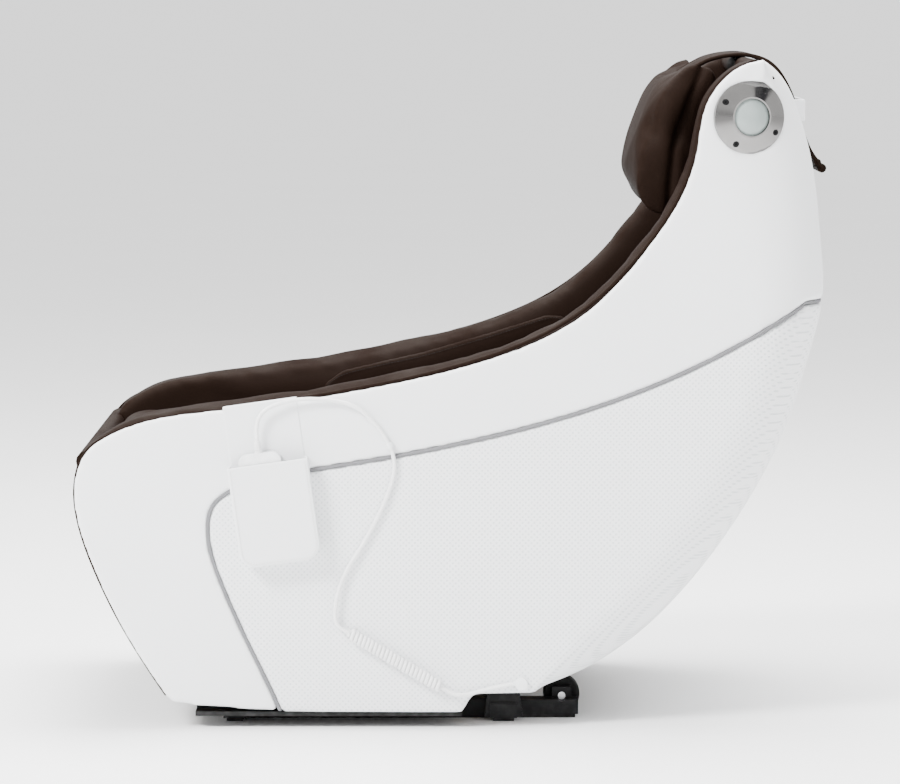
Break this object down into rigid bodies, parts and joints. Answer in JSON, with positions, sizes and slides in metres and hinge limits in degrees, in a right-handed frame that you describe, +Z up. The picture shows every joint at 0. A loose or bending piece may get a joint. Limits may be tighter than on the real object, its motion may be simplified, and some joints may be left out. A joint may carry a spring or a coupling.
{
  "type": "massage lounge chair",
  "caption": "Reclining bucket lounge massage chair: white covers, brown seat, hanging head pillow, corded remote in a side pocket, rollers on a curved track.",
  "frame": {"origin": "on the floor, midway along the bucket's length and width, at the underside of the floor strip", "axes": "+Z up, the sitter faces -Y, +X is the sitter's left, where the remote's pocket hangs"},
  "size_m": [0.6185, 1.019, 0.9011],
  "materials": {
    "white_leather": "smooth, soft sheen",
    "quilted_mesh": "white perforated mesh",
    "brown_leather": "dark brown, fine grain",
    "grey_piping": "grey cord piping",
    "black_steel": "black powder coat",
    "zinc_steel": "zinc plated",
    "plywood": "bare birch plywood",
    "nylon": "black nylon",
    "roller_plastic": "grey, slightly soft",
    "chrome": "polished trim",
    "frosted_dome": "frosted grey green",
    "black_plastic": "moulded",
    "rubber": "matt",
    "white_plastic": "moulded white",
    "grey_button": "soft touch",
    "cord_white": "white sheath"
  },
  "bodies": {
    "base": {"base_frame": "black_steel", "floor_strip": "rubber", "pivot_pins": "zinc_steel"},
    "wheel_left": {"wheel_left": "rubber"},
    "wheel_right": {"wheel_right": "rubber"},
    "actuator_tube": {"actuator_housing": "black_plastic"},
    "lift_rod": {"actuator_rod": "zinc_steel"},
    "carriage": {"carriage_frame": "nylon", "drive_motors": "black_plastic"},
    "travel_shaft": {"travel_shaft": "zinc_steel"},
    "kneading_shaft": {"kneading_shaft": "zinc_steel"},
    "massage_arm_left": {"massage_arm_left": "nylon"},
    "massage_arm_right": {"massage_arm_right": "nylon"},
    "pillow": {"pillow": "brown_leather", "front_strap": "brown_leather"},
    "power_switch": {"power_switch": "black_plastic"},
    "button_power": {"button_power": "grey_button"},
    "button_auto": {"button_auto": "grey_button"},
    "button_up": {"button_up": "grey_button"},
    "button_down": {"button_down": "grey_button"},
    "roller_upper_left": {"roller_upper_left": "roller_plastic"},
    "roller_lower_left": {"roller_lower_left": "roller_plastic"},
    "roller_upper_right": {"roller_upper_right": "roller_plastic"},
    "roller_lower_right": {"roller_lower_right": "roller_plastic"},
    "bucket": {"cross_tubes": "black_steel", "piping": "grey_piping", "front_panel": "brown_leather", "centre_pad": "brown_leather", "underside_panel": "black_plastic", "speaker_domes": "frosted_dome", "bezel_screws": "black_steel", "rear_strap": "brown_leather", "strap_loop": "white_leather", "pocket": "white_leather", "remote": "white_plastic", "strain_relief": "cord_white", "cord_coil": "cord_white", "cord_fittings": "white_plastic", "power_panel": "black_plastic", "power_inlet": "black_plastic", "control_box": "black_plastic", "cord_upper": "cord_white", "cord_lower": "cord_white", "back_cover_upper": "white_leather", "back_cover_lower": "quilted_mesh", "side_frame_left": "plywood", "guide_rail_left": "zinc_steel", "bolster_left": "brown_leather", "hip_pad_left": "brown_leather", "speaker_bezel_left": "chrome", "side_cover_upper_left": "white_leather", "side_cover_lower_left": "quilted_mesh", "side_frame_right": "plywood", "guide_rail_right": "zinc_steel", "bolster_right": "brown_leather", "hip_pad_right": "brown_leather", "speaker_bezel_right": "chrome", "side_cover_upper_right": "white_leather", "side_cover_lower_right": "quilted_mesh"}
  },
  "joints": [
    {"name": "recline", "type": "hinge", "parent": "base", "child": "bucket", "pos_m": [0, 0.07, 0.08], "axis": [-1, 0, 0], "range_deg": [0, 18]},
    {"name": "actuator_tilt", "type": "hinge", "parent": "base", "child": "actuator_tube", "pos_m": [0, -0.29, 0.047], "axis": [-1, 0, 0], "range_deg": [0, 8]},
    {"name": "actuator_lift", "type": "slide", "parent": "actuator_tube", "child": "lift_rod", "axis": [0, 0.2983, 0.9545], "range_m": [0, 0.108]},
    {"name": "carriage_travel", "type": "hinge", "parent": "bucket", "child": "carriage", "pos_m": [0, -0.165, 0.965], "axis": [1, 0, 0], "range_deg": [-26, 26]},
    {"name": "travel_spin", "type": "hinge", "parent": "carriage", "child": "travel_shaft", "pos_m": [0, 0.25831, 0.43283], "axis": [1, 0, 0], "range_deg": [-660, 660]},
    {"name": "knead_spin", "type": "hinge", "parent": "carriage", "child": "kneading_shaft", "pos_m": [0, 0.19736, 0.42778], "axis": [1, 0, 0], "continuous": true},
    {"name": "pillow_lift", "type": "hinge", "parent": "bucket", "child": "pillow", "pos_m": [0, 0.407, 0.8985], "axis": [-1, 0, 0], "range_deg": [0, 110]},
    {"name": "switch_rock", "type": "hinge", "parent": "bucket", "child": "power_switch", "pos_m": [-0.208, 0.39554, 0.30825], "axis": [1, 0, 0], "range_deg": [0, 16]},
    {"name": "wheel_spin_left", "type": "hinge", "parent": "base", "child": "wheel_left", "pos_m": [0.164, 0.15, 0.027], "axis": [1, 0, 0], "continuous": true},
    {"name": "arm_rock_left", "type": "hinge", "parent": "carriage", "child": "massage_arm_left", "pos_m": [0.06, 0.19736, 0.42778], "axis": [1, 0, 0], "range_deg": [-7, 7]},
    {"name": "roller_spin_upper_left", "type": "hinge", "parent": "massage_arm_left", "child": "roller_upper_left", "pos_m": [0.086, 0.24701, 0.47918], "axis": [1, 0, 0], "continuous": true},
    {"name": "roller_spin_lower_left", "type": "hinge", "parent": "massage_arm_left", "child": "roller_lower_left", "pos_m": [0.086, 0.1311, 0.401], "axis": [1, 0, 0], "continuous": true},
    {"name": "wheel_spin_right", "type": "hinge", "parent": "base", "child": "wheel_right", "pos_m": [-0.164, 0.15, 0.027], "axis": [1, 0, 0], "continuous": true},
    {"name": "arm_rock_right", "type": "hinge", "parent": "carriage", "child": "massage_arm_right", "pos_m": [-0.06, 0.19736, 0.42778], "axis": [1, 0, 0], "range_deg": [-7, 7]},
    {"name": "roller_spin_upper_right", "type": "hinge", "parent": "massage_arm_right", "child": "roller_upper_right", "pos_m": [-0.086, 0.24701, 0.47918], "axis": [1, 0, 0], "continuous": true},
    {"name": "roller_spin_lower_right", "type": "hinge", "parent": "massage_arm_right", "child": "roller_lower_right", "pos_m": [-0.086, 0.1311, 0.401], "axis": [1, 0, 0], "continuous": true},
    {"name": "button_power_press", "type": "slide", "parent": "bucket", "child": "button_power", "axis": [-1, 0, 0], "range_m": [0, 0.0015], "stiffness_N_per_m": 400},
    {"name": "button_auto_press", "type": "slide", "parent": "bucket", "child": "button_auto", "axis": [-1, 0, 0], "range_m": [0, 0.0015], "stiffness_N_per_m": 400},
    {"name": "button_up_press", "type": "slide", "parent": "bucket", "child": "button_up", "axis": [-1, 0, 0], "range_m": [0, 0.0015], "stiffness_N_per_m": 400},
    {"name": "button_down_press", "type": "slide", "parent": "bucket", "child": "button_down", "axis": [-1, 0, 0], "range_m": [0, 0.0015], "stiffness_N_per_m": 400}
  ],
  "couplings": [
    {"joint": "actuator_tilt", "follows": "recline", "ratio": 0.399},
    {"joint": "actuator_lift", "follows": "recline", "m_per_rad": 0.3267},
    {"joint": "travel_spin", "follows": "carriage_travel", "ratio": 25.154}
  ]
}
